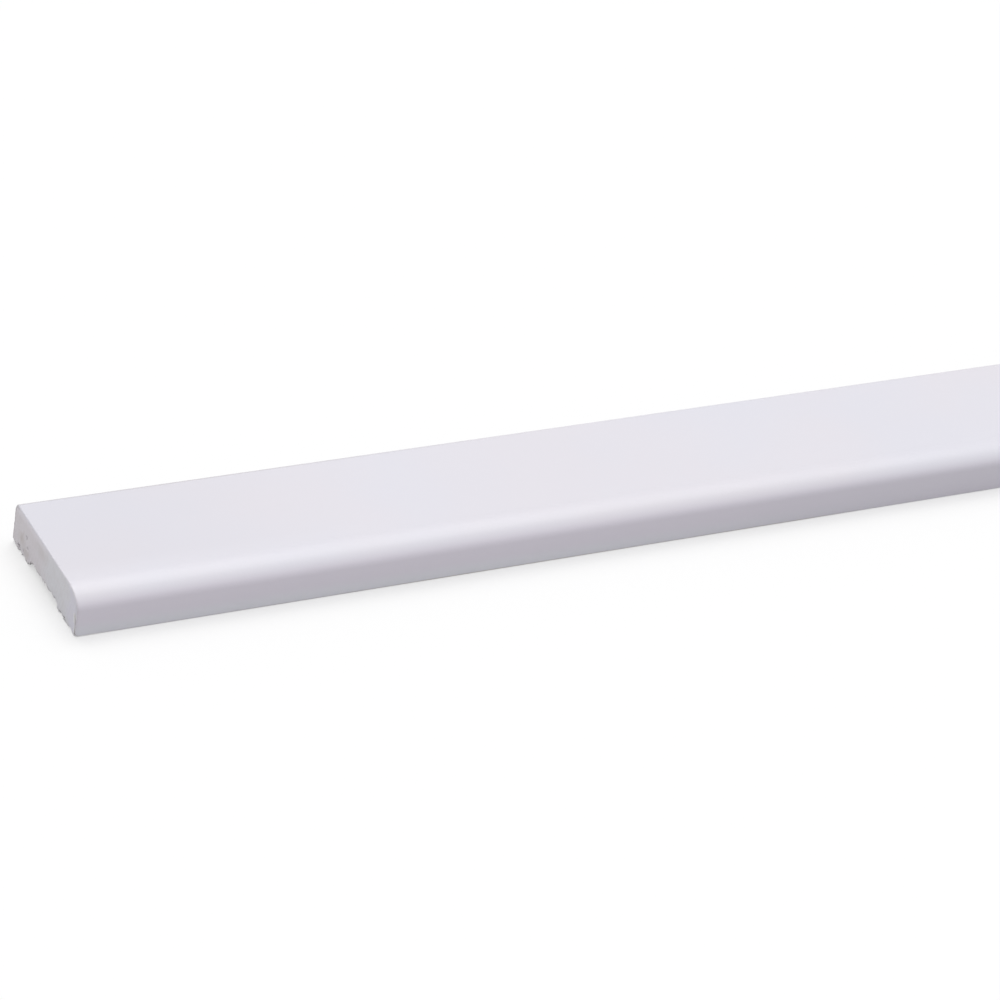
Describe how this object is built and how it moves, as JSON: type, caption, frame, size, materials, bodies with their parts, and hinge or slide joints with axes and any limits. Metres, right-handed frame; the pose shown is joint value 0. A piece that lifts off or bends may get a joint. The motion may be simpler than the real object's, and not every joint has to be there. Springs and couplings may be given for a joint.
{
  "type": "flat moulding",
  "caption": "Straight length of white painted flat moulding, with one rounded edge, one square edge and a shallow relief along its underside; covers a joint round a door, window or wall.",
  "frame": {"origin": "middle of the underside, level with the two feet", "axes": "+X along the length, +Y out of the square back edge, -Y out of the rounded front edge, +Z out of the show face"},
  "size_m": [2.4, 0.043, 0.012],
  "materials": {
    "painted_wood": "satin white paint on planed softwood"
  },
  "bodies": {
    "root": {"moulding": "painted_wood"}
  },
  "joints": []
}
